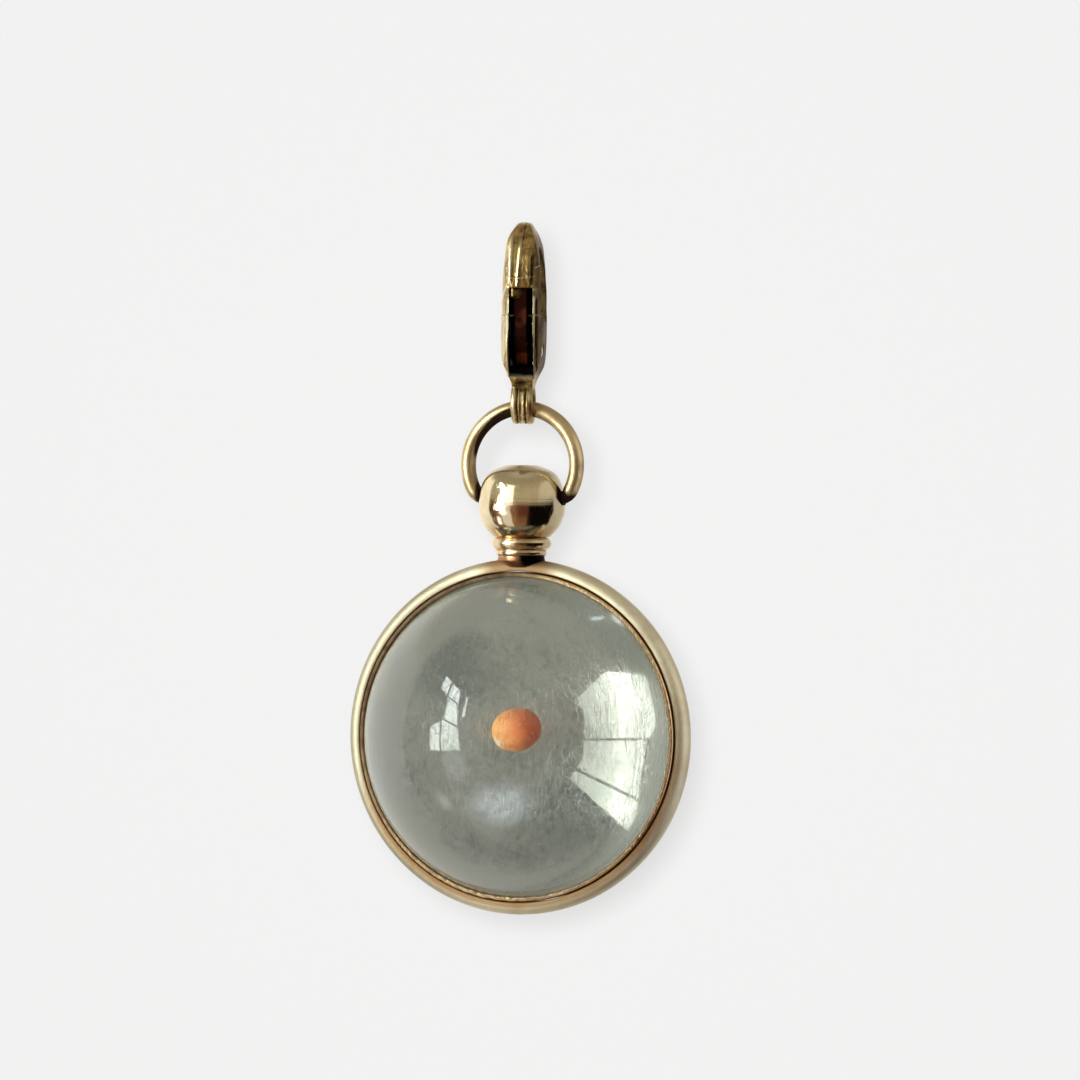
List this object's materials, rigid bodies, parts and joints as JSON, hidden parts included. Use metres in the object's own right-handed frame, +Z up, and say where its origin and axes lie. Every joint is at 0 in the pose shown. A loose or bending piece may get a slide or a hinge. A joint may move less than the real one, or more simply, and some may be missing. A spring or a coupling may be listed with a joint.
{
  "type": "glass orb charm",
  "caption": "Thick glass orb, high-domed at the front and nearly flat behind, with a seed at its middle, in a round metal band under a turned knob and wire bow, hung from a lobster clasp.",
  "frame": {"origin": "top of the inside of the clasp's hook, where the charm hangs", "axes": "+Z up, +Y to the back, so that the glass disc faces -Y; +X to the right as seen from the front"},
  "size_m": [0.0237, 0.0128, 0.0461],
  "materials": {
    "clasp_brass": "cast and polished brass with an olive-brown tarnish in its hollows",
    "lever_brass": "brass, tarnished red-brown inside the clasp",
    "rivet_brass": "polished brass rivet",
    "bow_brass": "drawn and polished brass wire, a little worn",
    "case_gold": "polished pale gold plate with fine turning lines and small nicks",
    "bezel_copper": "coppery gold, dark in its groove, rough along its lip",
    "orb_glass": "thick grey-green glass with fine scratches on its domes",
    "seed_skin": "dry amber seed coat with pale specks"
  },
  "bodies": {
    "clasp": {"clasp_body": "clasp_brass", "clasp_rivet": "rivet_brass"},
    "lever": {"clasp_lever": "lever_brass"},
    "bow": {"bow": "bow_brass"},
    "pendant": {"case": "case_gold", "bezel": "bezel_copper", "glass_orb": "orb_glass", "seed": "seed_skin"}
  },
  "joints": [
    {"name": "gate_hinge", "type": "hinge", "parent": "clasp", "child": "lever", "pos_m": [0.00019, -0.00088, -0.0069], "axis": [-0.9781, -0.2079, 0], "range_deg": [0, 30], "stiffness_Nm_per_rad": 0.003, "springref_deg": -11.46},
    {"name": "bow_swing", "type": "hinge", "parent": "clasp", "child": "bow", "pos_m": [0, 0, -0.01069], "axis": [1, 0, 0], "range_deg": [-85, 85]},
    {"name": "pendant_swing", "type": "hinge", "parent": "bow", "child": "pendant", "pos_m": [0, 0, -0.01659], "axis": [-1, 0, 0], "range_deg": [-70, 70]}
  ]
}
